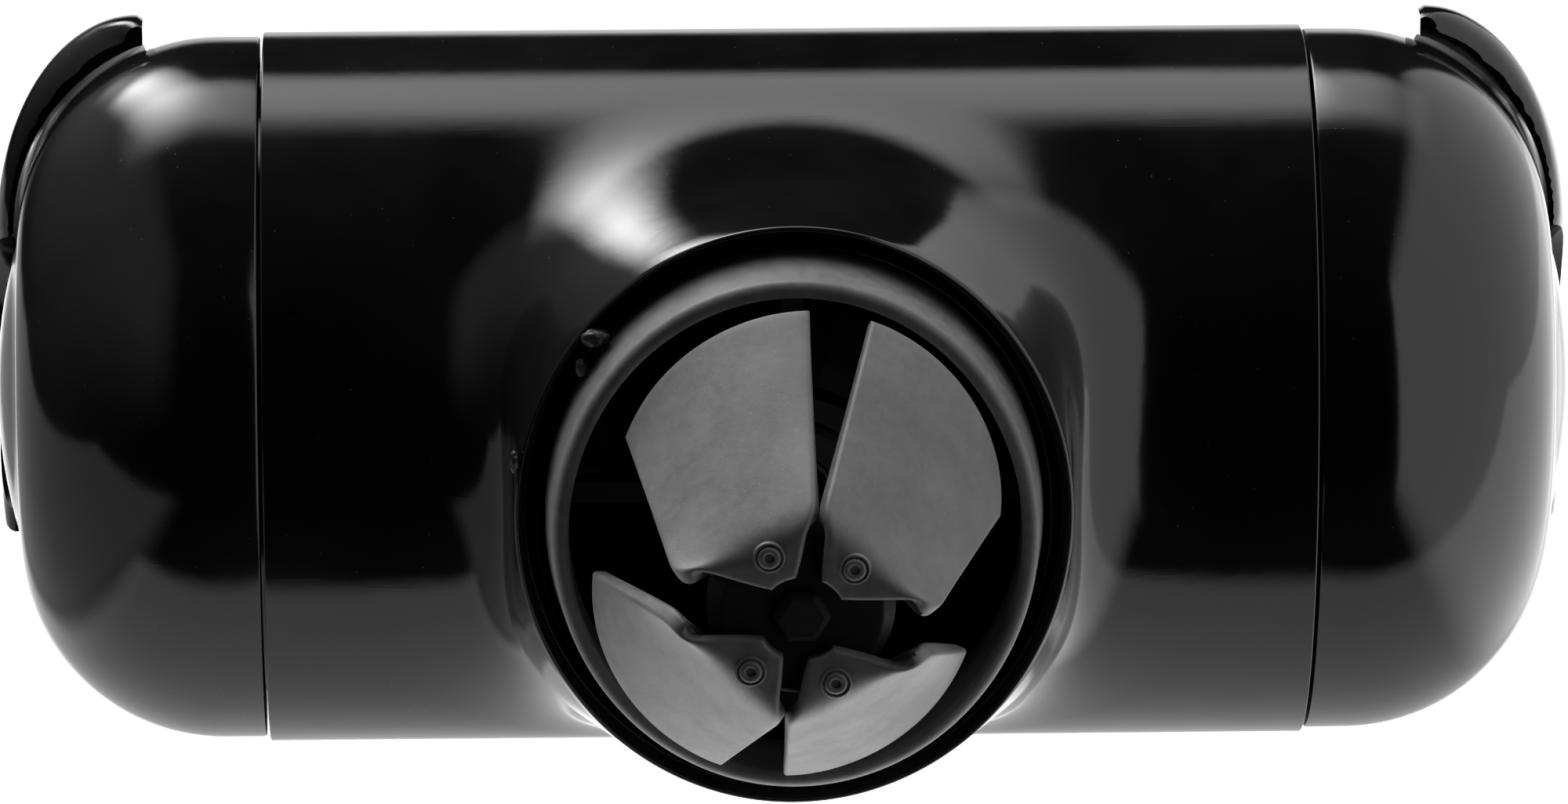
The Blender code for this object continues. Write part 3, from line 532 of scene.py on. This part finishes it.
def make_casing():
    """The barrel with its outlet: a polished shell with a satin face around the lip."""
    across, around, back = 72, 56, 44
    bm = bmesh.new()
    lines = []
    for border in patch_border(across, around):
        points = outlet_line(border, tube_steps=5, blend_steps=22, barrel_steps=12)
        lines.append([bm.verts.new(PUMP_CENTRE + point) for point in points])
    for line, following in zip(lines, lines[1:] + lines[:1]):
        strip(bm, line, following)
    top = [line[-1] for line in lines[around:around + across + 1]]
    bottom = [line[-1] for line in lines[2 * around + across:]] + [lines[0][-1]]
    rows = [top]
    for i in range(1, back):
        phi = math.pi * (0.5 + i / back)
        rows.append([bm.verts.new(PUMP_CENTRE + barrel_point(v.co.x, phi)) for v in top])
    rows.append(list(reversed(bottom)))
    for row, following in zip(rows, rows[1:]):
        strip(bm, row, following)
    bmesh.ops.recalc_face_normals(bm, faces=bm.faces)
    bm.faces.ensure_lookup_table()
    face = bm.faces[0]
    if face.normal.dot(face.calc_center_median() - PUMP_CENTRE) < 0:
        bmesh.ops.reverse_faces(bm, faces=bm.faces)
    mesh = bpy.data.meshes.new("casing_shell")
    bm.to_mesh(mesh)
    bm.free()
    mesh.shade_smooth()
    mesh.set_sharp_from_angle(angle=SMOOTH_ANGLE)
    mesh.materials.append(LOOKS["gloss_black"])
    mesh.materials.append(LOOKS["satin_black"])
    casing = bpy.data.objects.new("casing_shell", mesh)
    bpy.context.scene.collection.objects.link(casing)
    wall = casing.modifiers.new("wall", "SOLIDIFY")
    wall.thickness = CASING_WALL - RIM_ROUNDING
    wall.offset = -1.0
    wall.material_offset_rim = 1
    edge = casing.modifiers.new("edge", "BEVEL")
    edge.width = CASING_EDGE
    edge.segments = 2
    edge.limit_method = "ANGLE"
    edge.angle_limit = CASING_EDGE_ANGLE
    edge.harden_normals = True
    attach(casing, "pump")
    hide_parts("barrel_casing")


# ---- caps and grilles ---------------------------------------------------------------------
def cap_outside(clearance=0.0):
    """The cap's outer side as (radius, distance from the barrel's middle), from the crown down."""
    centre = (CAP_SHOULDER - CAP_CORNER, CAP_CORNER_START)
    crown = [(centre[0] * i / 8, centre[1] + CAP_CORNER + CAP_CROWN * (1 - (i / 8) ** 2)) for i in range(8)]
    corner = arc(centre, CAP_CORNER, 90, 0, 28)
    return [(r + (clearance if r > centre[0] else 0), h + clearance) for r, h in crown + corner]


def make_cap(side_name, side):
    """A domed cap with a softened edge at the seam and its spigot."""
    seat = BARREL_HALF_LENGTH + GAP
    inner = arc((CAP_SHOULDER - CAP_CORNER, CAP_CORNER_START), CAP_CORNER - CAP_WALL, 0, 90, 12)
    bore = SPIGOT_RADIUS - CAP_WALL
    soft = CAP_SEAM_SOFTNESS
    cut = soft * 0.3
    profile = cap_outside()
    profile += [(CAP_SHOULDER, seat + soft), (CAP_SHOULDER - cut, seat + cut), (CAP_SHOULDER - soft, seat)]
    profile += [(SPIGOT_RADIUS, seat), (SPIGOT_RADIUS, SPIGOT_START)]
    profile += [(bore, SPIGOT_START), (bore, seat + CAP_WALL)]
    profile += inner + [(0, inner[-1][1])]
    revolved(f"{side_name}_cap_shell", profile, about_barrel(side), "pump",
             [LOOKS["gloss_black"]], [f"{side_name}_end_cap"])


def make_grille(side_name, side):
    """The strainer over the cap's rear, which grows out of the cap's surface and has slots."""
    cap_centre = (CAP_SHOULDER - CAP_CORNER, CAP_CORNER_START)
    cap_radius = CAP_CORNER + GRILLE_CLEARANCE
    least_height = GRILLE_START + 0.3 * MM
    nearest = {}
    outer = []
    for i in range(GRILLE_STEPS + 1):
        turn = math.radians(90 - 90 * i / GRILLE_STEPS)
        full = (GRILLE_CENTRE[0] + GRILLE_REACH[0] * math.cos(turn),
                GRILLE_CENTRE[1] + GRILLE_REACH[1] * math.sin(turn))
        nearest[full] = (cap_centre[0] + cap_radius * math.cos(turn),
                         max(cap_centre[1] + cap_radius * math.sin(turn), least_height))
        outer.append(full)
    foot = (outer[-1][0] - 0.4 * MM, GRILLE_START)
    nearest[foot] = (cap_centre[0] + cap_radius, GRILLE_START)
    crown = GRILLE_CENTRE[0]
    hugging = [(r, h) for r, h in cap_outside(GRILLE_CLEARANCE) if r > crown and h > GRILLE_START]
    inner = [(GRILLE_SEAT_RADIUS, GRILLE_START)] + hugging[::-1] + [(crown, hugging[0][1] + 0.2 * MM)]
    plain = about_barrel(side)

    def swollen(radius, angle, height):
        """The outside swells from near the cap's surface at the front to its full size behind."""
        place = plain(radius, angle, height)
        if (radius, height) not in nearest:
            return place
        rear = (place.y - PUMP_CENTRE.y - GRILLE_FRONT) / SWELL_LENGTH
        share = max(0.0, min(1.0, rear))
        share = SWELL_LEAST + (1 - SWELL_LEAST) * math.sqrt(1 - (1 - share) ** 2)
        near = nearest[(radius, height)]
        return plain(near[0] + (radius - near[0]) * share, angle, near[1] + (height - near[1]) * share)

    grille = revolved(f"{side_name}_grille_shell", outer + [foot] + inner, swollen, "pump",
                      [LOOKS["gloss_black"]], [f"{side_name}_intake_grille"], GRILLE_TURNS)
    lowest = (-BEYOND, -BEYOND, -BEYOND_HEIGHT)
    cut_box(grille, lowest, (BEYOND, GRILLE_FRONT, BEYOND_HEIGHT))
    cut_box(grille, lowest, (BEYOND, BEYOND, GRILLE_LOW))
    for index in range(SLOT_COUNT):
        middle = side * (GRILLE_START + SLOT_FIRST + SLOT_PITCH * index)
        cut_box(grille, (middle - SLOT_WIDTH / 2, SLOT_FRONT, SLOT_LOW),
                (middle + SLOT_WIDTH / 2, SLOT_REAR, SLOT_HIGH))


def cut_box(obj, low, high):
    """Cut a box, given from the barrel's centre, out of an object."""
    bm = bmesh.new()
    bmesh.ops.create_cube(bm, size=1.0)
    low, high = PUMP_CENTRE + Vector(low), PUMP_CENTRE + Vector(high)
    for vert in bm.verts:
        vert.co = (low + high) / 2 + Vector(a * b for a, b in zip(vert.co, high - low))
    mesh = bpy.data.meshes.new("cutter")
    bm.to_mesh(mesh)
    bm.free()
    cutter = bpy.data.objects.new("cutter", mesh)
    bpy.context.scene.collection.objects.link(cutter)
    modifier = obj.modifiers.new("cut", "BOOLEAN")
    modifier.operation = "DIFFERENCE"
    modifier.solver = "EXACT"
    modifier.object = cutter
    bpy.context.view_layer.update()
    evaluated = obj.evaluated_get(bpy.context.evaluated_depsgraph_get())
    cut = bpy.data.meshes.new_from_object(evaluated)
    obj.modifiers.clear()
    obj.data = cut
    bpy.data.objects.remove(cutter)


# ---- outlet -------------------------------------------------------------------------------
def make_lip():
    """The grey sleeve in the outlet with its rounded lip."""
    front = LIP_FRONT / MM
    corners = [(LIP_OUTER / MM, 31.0, 0.3), (20.2, 31.0, 0.3), (19.5, 36.0, 1.5), (19.5, front, 0.55),
               (20.9, front, 0.9), (21.2, 37.2, 0.5), (LIP_OUTER / MM, 35.5, 0.0)]
    revolved("outlet_lip", rounded(corners, 6), about_outlet, "pump",
             [LOOKS["matte_grey"]], ["nozzle_ring"], 192)


# ---- blades -------------------------------------------------------------------------------
def spine(t, pin_angle, side, long_tip, short_tip):
    """Places down one blade from root to tip, at a share t of the way across it."""
    tip = BLADE_LONG_TIP + (BLADE_SHORT_TIP - BLADE_LONG_TIP) * t ** BLADE_TIP_CURVE
    fold_angle = BLADE_FOLD_START + (BLADE_FOLD_END - BLADE_FOLD_START) * t
    fold = BLADE_FOLD / math.cos(math.radians(fold_angle))
    fall = BLADE_ROOT_FORWARD - BLADE_TIP_FORWARD
    past = 0.5 * MM
    # Distance from the shaft, angles out to the long and the short edge, and how far it falls back.
    corners = ((3.7 * MM, 18, 18, 0.0), (5.0 * MM, 25, 27, 0.0), (fold - past, 30, 37, 0.0),
               (fold + past, 32.5, 44, fall * past / (tip - fold)), (tip, long_tip, short_tip, fall))
    places = []
    for radius, long_edge, short_edge, drop in corners:
        angle = math.radians(-long_edge + (long_edge + short_edge) * t)
        places.append(about_shaft(radius, pin_angle + side * angle, BLADE_ROOT_FORWARD - drop))
    return places


def resample(places, distances):
    """Places at given distances along a chain of straight runs."""
    found = []
    for distance in distances:
        for a, b in zip(places, places[1:]):
            run = (b - a).length
            if distance <= run or b is places[-1]:
                found.append(a.lerp(b, min(distance / run, 1.0)))
                break
            distance -= run
    return found


def edge_spaced(length, count, rounding):
    """Distances along a length, closer together within the rounding at both its ends."""
    near = [rounding * (1 - math.cos(math.radians(90 * i / EDGE_STEPS))) for i in range(EDGE_STEPS)]
    middle = [rounding + (length - 2 * rounding) * i / count for i in range(count + 1)]
    return near + middle + [length - d for d in reversed(near)]


def make_blade(name, spec):
    """One raked blade of even thickness with rounded edges and a boss around its pin."""
    side, long_tip, short_tip = spec
    pin = joint_place(f"{name}_swing")
    pin_angle = math.atan2(pin.z - PUMP_CENTRE.z, pin.x - PUMP_CENTRE.x)
    columns = 28
    rows = 44
    spines = 40
    chains = []
    for i in range(spines + 1):
        chain = spine(i / spines, pin_angle, side, long_tip, short_tip)
        length = sum((b - a).length for a, b in zip(chain, chain[1:]))
        chains.append(resample(chain, edge_spaced(length, rows, BLADE_ROUNDING)))
    for _ in range(3):
        for chain in chains:
            middle = [(a + b * 2 + c) / 4 for a, b, c in zip(chain, chain[1:], chain[2:])]
            chain[EDGE_STEPS + 1:-EDGE_STEPS - 1] = middle[EDGE_STEPS:-EDGE_STEPS]
    bm = bmesh.new()
    grid = []
    for row in zip(*chains):
        width = sum((b - a).length for a, b in zip(row, row[1:]))
        rounding = min(BLADE_ROUNDING, width * 0.2)
        grid.append(resample(list(row), edge_spaced(width, columns, rounding)))
    front = [[bm.verts.new(p) for p in row] for row in grid]
    for row, following in zip(front, front[1:]):
        strip(bm, row, following)
    bm.normal_update()
    if sum(v.normal.y for row in front for v in row) > 0:
        bmesh.ops.reverse_faces(bm, faces=bm.faces)
        bm.normal_update()
    normals = [[v.normal.copy() for v in row] for row in front]

    def inset(i, j):
        """How far the surface drops at a grid place, to round the edge."""
        share_u = min(i, len(grid) - 1 - i) / EDGE_STEPS
        share_v = min(j, len(grid[0]) - 1 - j) / EDGE_STEPS
        drop = 0.0
        for share in (share_u, share_v):
            if share < 1:
                drop = max(drop, 1 - math.sin(math.radians(90 * share)))
        return drop * BLADE_ROUNDING

    back = []
    for i, row in enumerate(front):
        back.append([bm.verts.new(v.co - normals[i][j] * (BLADE_THICKNESS - inset(i, j)))
                     for j, v in enumerate(row)])
        for j, v in enumerate(row):
            v.co -= normals[i][j] * inset(i, j)
    for row, following in zip(back, back[1:]):
        strip(bm, row, following)
    strip(bm, front[0], back[0])
    strip(bm, front[-1], back[-1])
    strip(bm, [row[0] for row in front], [row[0] for row in back])
    strip(bm, [row[-1] for row in front], [row[-1] for row in back])
    boss = rounded([(1.08, -0.2, 0), (1.4, -0.2, 0), (1.34, 0.14, 0.12), (1.12, 0.14, 0.1)], 3)
    add_revolved(bm, boss, about_pin(pin, (0, -1, 0)), 40)
    finish_piece(f"blade_shell_{name}", bm, f"blade_{name}", [LOOKS["matte_grey"]],
                 [f"blade_{name}"])
    head = rounded([(0, -6.0, 0), (1.0, -6.0, 0), (1.0, 0.3, 0.3), (0.45, 0.3, 0.15), (0.3, -0.1, 0.1),
                    (0, -0.1, 0)], 4)
    revolved(f"blade_pin_shell_{name}", head, about_pin(pin, (0, -1, 0)), "propeller",
             [LOOKS["matte_grey"]], [f"blade_pin_{name}"], 40)


# ---- hub, nubs and rear parts ---------------------------------------------------------------
def make_hub():
    """The turned hub that the blades are pinned to."""
    corners = [(1.8, 59.9, 0.1), (6.9, 59.9, 0.4), (8.0, 57.6, 0.5), (8.0, 56.4, 0.4), (4.6, 51.0, 1.0),
               (3.6, 33.0, 0.5), (3.6, 31.5, 0.2), (1.8, 31.5, 0.1)]
    # The hub takes the very dark black with painted shade.
    revolved("hub_shell", rounded(corners), about_shaft, "propeller",
             [LOOKS["hub_black_painted_shade"]], ["propeller_hub"], 96)


def make_nub(name, place, size):
    """A small, uneven lump of leftover plastic on the outlet's rim."""
    bm = bmesh.new()
    bmesh.ops.create_icosphere(bm, subdivisions=4, radius=1.0)
    seed = Vector(place) * 900
    for vert in bm.verts:
        swell = 1.0 + 0.35 * noise.noise(vert.co * 1.6 + seed)
        vert.co = PUMP_CENTRE + Vector(place) + Vector(a * b * swell for a, b in zip(vert.co, size))
    finish_piece(name, bm, "pump", [LOOKS["satin_black"]])


def soften(name, width):
    """A CAD node's shape again, with its sharp edges rounded."""
    bm = bmesh.new()
    bm.from_mesh(frame["nodes"][name].data)
    bmesh.ops.remove_doubles(bm, verts=bm.verts, dist=0.001 * MM)
    bmesh.ops.dissolve_limit(bm, angle_limit=math.radians(1), verts=bm.verts, edges=bm.edges)
    sharp = [edge for edge in bm.edges if edge.calc_face_angle(0.0) > SMOOTH_ANGLE]
    bmesh.ops.bevel(bm, geom=sharp, offset=width, segments=3, profile=0.5, affect="EDGES",
                    clamp_overlap=True)
    # The hub's nut takes the hub's very dark black with painted shade.
    look = LOOKS["hub_black_painted_shade" if name == "hub_nut" else SLOT_OF[name]]
    piece = finish_piece(f"{name}_shell", bm, BODY_OF[name], [look], [name])
    piece.modifiers.new("even_shading", "WEIGHTED_NORMAL").keep_sharp = True


def cut_cross(obj, centre, rearward, reach, width, depth):
    """Cut a screwdriver's cross into a head whose top is at centre."""
    inner = -depth if rearward else depth
    above = 0.1 * MM
    for half_x, half_z in ((reach, width / 2), (width / 2, reach)):
        low = Vector((-half_x, min(inner, -above), -half_z))
        high = Vector((half_x, max(inner, above), half_z))
        cut_box(obj, centre + low - PUMP_CENTRE, centre + high - PUMP_CENTRE)


def make_screws():
    """The four cap screws and the turntable's countersunk one."""
    pan = rounded([(0, 0.0, 0), (1.5, 0.0, 0.3), (2.3, -0.5, 0.4), (2.3, -1.3, 0.1), (1.2, -1.3, 0),
                   (1.2, -5.6, 0.2), (0, -6.5, 0)])
    for name in (n for n in SLOT_OF if "cap_screw" in n):
        low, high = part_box(name)
        centre = Vector(((low.x + high.x) / 2, high.y, (low.z + high.z) / 2))
        screw = revolved(f"{name}_shell", pan, about_pin(centre, (0, 1, 0)), "pump",
                         [LOOKS["stainless"]], [name], 64)
        cut_cross(screw, centre, True, 1.25 * MM, 0.55 * MM, 0.8 * MM)
    flat = rounded([(0, 0.0, 0), (3.2, 0.0, 0.15), (1.2, -1.4, 0.1), (1.2, -9.1, 0.1), (0, -9.5, 0)])
    centre = Vector((0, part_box("turntable_screw")[0].y, 0))
    screw = revolved("turntable_screw_shell", flat, about_pin(centre, (0, -1, 0)), "wall_mount",
                     [LOOKS["stainless"]], ["turntable_screw"], 64)
    cut_cross(screw, centre, False, 1.7 * MM, 0.7 * MM, 0.9 * MM)


def make_gland():
    """The ribbed rubber gland, its bore open."""
    low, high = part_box("cable_gland")
    seat = Vector(((low.x + high.x) / 2, PUMP_CENTRE.y + BARREL_HALF_DEPTH, PUMP_CENTRE.z))
    corners = [(2.2, -4.0, 0.2), (3.0, -4.0, 0.2), (3.0, 0.4, 0.0), (5.6, 0.4, 0.2), (5.6, 3.0, 0.5)]
    for start in (3.3, 4.9, 6.5):
        corners += [(4.6, start, 0.15), (4.5, start + 0.8, 0.15), (4.0, start + 0.95, 0.1)]
    corners += [(4.0, 7.6, 0.1), (4.3, 7.7, 0.1), (4.2, 8.0, 0.1), (2.2, 8.0, 0.2)]
    revolved("cable_gland_shell", rounded(corners, 4), about_pin(seat, (0, 1, 0)), "pump",
             [LOOKS["rubber"]], ["cable_gland"], 96)


def make_puck():
    """The fixed puck: its housing and the grooved rubber pad that meets the wall."""
    housing = [(1.5, 11.3, 0.2), (16.0, 11.3, 1.8), (16.0, 5.1, 0.1), (15.7, 4.9, 0.1), (15.7, 4.3, 0.1),
               (16.0, 4.1, 0.1), (16.0, 2.3, 0.3), (14.4, 2.3, 0.2), (14.4, 9.3, 0.3), (1.5, 9.3, 0)]
    revolved("puck_housing_shell", rounded(housing), about_mount, "wall_mount",
             [LOOKS["satin_black"]], ["puck_housing"], 160)
    pad = [(0, 2.0, 0), (16.0, 2.0, 0.3), (16.0, 0.0, 0.4)]
    for radius in (12.8, 9.6, 6.4):
        for inward, depth in ((0.0, 0.0), (0.2, 0.4), (0.9, 0.4), (1.1, 0.0)):
            pad.append((radius - inward, depth, 0.1))
    revolved("mount_pad_shell", rounded(pad + [(0, 0.0, 0)]), about_mount, "wall_mount",
             [LOOKS["rubber"]], ["mount_pad"], 160)


# ---- stage --------------------------------------------------------------------------------
WHITE = (1.0, 1.0, 1.0, 1.0)
FLOOR_CLEARANCE = 75.0 * MM
FLOOR_RADIUS = 6.0
# The way across the lamp and the way along it, both level.
LAMP_ACROSS = (0.93, 0.37, 0)
LAMP_ALONG = (-0.37, 0.93, 0)
# Each softbox lies on a plane one unit from the object: the way to the plane, its two axes, then the
# box's low and high edge along each axis, how soft the edges are along each, and its strength.
SOFTBOXES = (
    ("table", (0, 0, -1), (1, 0, 0), (0, 1, 0), (-0.9, 9.0), (-0.84, 9.0), (0.12, 0.12), 0.8),
    ("table_left", (0, 0, -1), (-1, 0, 0), (0, 1, 0), (0.9, 4.2), (-2.2, 4.0), (0.25, 0.25), 0.4),
    ("wall_left", (-1, 0, 0), (0, -1, 0), (0, 0, 1), (-3.0, 2.0), (0.3, 1.9), (0.9, 0.6), 0.25),
    ("wall_right", (1, 0, 0), (0, 1, 0), (0, 0, 1), (-2.7, 2.1), (-1.3, 2.0), (0.12, 0.45), 1.15),
    ("overhead", (0, 0, 1), (1, 0, 0), (0, 1, 0), (-0.6, 0.4), (0.17, 0.76), (0.4, 0.15), 2.6),
    ("lamp", (0, 0, 1), LAMP_ACROSS, LAMP_ALONG, (-0.36, 0.04), (0.5, 1.8), (0.2, 0.35), 9.0),
    ("lamp_fade", (0, 0, 1), LAMP_ACROSS, LAMP_ALONG, (-0.36, 0.04), (1.2, 3.4), (0.22, 0.9), 1.2),
    ("back_wall", (0, 1, 0), (1, 0, 0), (0, 0, 1), (-0.2, 0.45), (-0.6, 0.12), (0.25, 0.08), 1.1),
)
# The lights that fall on rough surfaces: the way to each, its size in metres and its power in watts.
PANELS = (
    ("panel_top", (-0.15, 0.25, 1.0), 1.0, 20.0),
    ("panel_table", (0.0, 0.25, -1.0), 1.2, 60.0),
    ("panel_right", (1.0, 0.25, 0.1), 0.8, 7.0),
    ("panel_left", (-1.0, 0.35, 0.2), 0.8, 12.0),
)
PANEL_DISTANCE = 1.2
# What polished surfaces mirror where there is no softbox.
DIM_LIGHT = 0.006

CAMERA_DISTANCE = 1.0
CAMERA_AZIMUTH = math.radians(-1.5)
CAMERA_ELEVATION = math.radians(19.0)
CAMERA_AIM = Vector((0.05, 0.0, -1.8)) * MM
SENSOR_WIDTH = 36.0
VIEW_WIDTH = 140.06 * MM


def make_floor():
    """A large white floor that glows, low enough for the pump to clear it at every swivel and tilt."""
    bm = bmesh.new()
    bmesh.ops.create_circle(bm, cap_ends=True, segments=96, radius=FLOOR_RADIUS)
    mesh = bpy.data.meshes.new("floor")
    bm.to_mesh(mesh)
    bm.free()
    material = bpy.data.materials.new("floor")
    material.use_nodes = True
    shader = material.node_tree.nodes["Principled BSDF"]
    shader.inputs["Base Color"].default_value = WHITE
    shader.inputs["Roughness"].default_value = 0.9
    shader.inputs["Emission Color"].default_value = WHITE
    shader.inputs["Emission Strength"].default_value = 1.0
    mesh.materials.append(material)
    floor = bpy.data.objects.new("floor", mesh)
    floor.location.z = CAD_BOX[0].z - FLOOR_CLEARANCE
    bpy.context.scene.collection.objects.link(floor)
    floor.visible_glossy = False
    floor.visible_diffuse = False
    floor.visible_shadow = False


def make_world():
    """The studio: white for the camera, softboxes for mirrored rays and nothing for diffuse ones."""
    world = bpy.data.worlds.new("studio")
    world.use_nodes = True
    graph = Graph(world.node_tree)
    way = graph.add("ShaderNodeTexCoord").outputs["Generated"]
    total = DIM_LIGHT
    for _, facing, across, upward, extent_a, extent_b, softness, strength in SOFTBOXES:
        forward = graph.dot(way, facing)
        reach = graph.math("MAXIMUM", forward, 0.001)
        share = graph.ramp(forward, 0.0, 0.05, 0.0, strength)
        for axis, (low, high), soft in zip((across, upward), (extent_a, extent_b), softness):
            place = graph.math("DIVIDE", graph.dot(way, axis), reach)
            rise = graph.ramp(place, low - soft, low + soft, 0.0, 1.0, "SMOOTHSTEP")
            fall = graph.ramp(place, high - soft, high + soft, 1.0, 0.0, "SMOOTHSTEP")
            share = graph.math("MULTIPLY", share, graph.math("MULTIPLY", rise, fall))
        total = graph.math("ADD", total, share)
    seen = graph.add("ShaderNodeLightPath").outputs["Is Camera Ray"]
    strength = graph.math("ADD", graph.math("MULTIPLY", total, graph.math("SUBTRACT", 1.0, seen)), seen)
    background = world.node_tree.nodes["Background"]
    background.inputs["Color"].default_value = WHITE
    world.node_tree.links.new(strength, background.inputs["Strength"])
    bpy.context.scene.world = world
    world.cycles_visibility.diffuse = False


def make_panels():
    """The soft lights for rough surfaces, which polished ones don't mirror."""
    for name, way, size, power in PANELS:
        light = bpy.data.lights.new(name, "AREA")
        light.size = size
        light.energy = power
        panel = bpy.data.objects.new(name, light)
        way = Vector(way).normalized()
        panel.location = PUMP_CENTRE + way * PANEL_DISTANCE
        panel.rotation_euler = way.to_track_quat("Z", "Y").to_euler()
        panel.visible_glossy = False
        panel.visible_camera = False
        bpy.context.scene.collection.objects.link(panel)


def make_camera():
    """A long lens a little to the left of the front and above it."""
    camera = bpy.data.cameras.new("camera")
    camera.sensor_width = SENSOR_WIDTH
    camera.lens = SENSOR_WIDTH * CAMERA_DISTANCE / VIEW_WIDTH
    camera.clip_start = 0.01
    camera.clip_end = 50.0
    level = math.cos(CAMERA_ELEVATION)
    back = Vector((math.sin(CAMERA_AZIMUTH) * level, -math.cos(CAMERA_AZIMUTH) * level,
                   math.sin(CAMERA_ELEVATION)))
    obj = bpy.data.objects.new("camera", camera)
    obj.location = PUMP_CENTRE + CAMERA_AIM + back * CAMERA_DISTANCE
    obj.rotation_euler = (-back).to_track_quat("-Z", "Y").to_euler()
    bpy.context.scene.collection.objects.link(obj)
    bpy.context.scene.camera = obj


def finish_cad_nodes():
    """The nodes that stay the CAD's own get their slot's material."""
    for name, obj in frame["nodes"].items():
        if obj.hide_render:
            continue
        obj.data.materials.clear()
        obj.data.materials.append(LOOKS[SLOT_OF[name]])
        obj.data.shade_smooth()
        obj.data.set_sharp_from_angle(angle=SMOOTH_ANGLE)


make_casing()
for side_name, side in (("left", -1), ("right", 1)):
    make_cap(side_name, side)
    make_grille(side_name, side)
make_lip()
for name, spec in BLADES.items():
    make_blade(name, spec)
make_hub()
for name, (place, size) in NUBS.items():
    make_nub(name, place, size)
for name, width in SOFTENED.items():
    soften(name, width)
make_screws()
make_gland()
make_puck()
finish_cad_nodes()
make_floor()
make_world()
make_panels()
make_camera()
bpy.context.scene.view_settings.view_transform = "Standard"
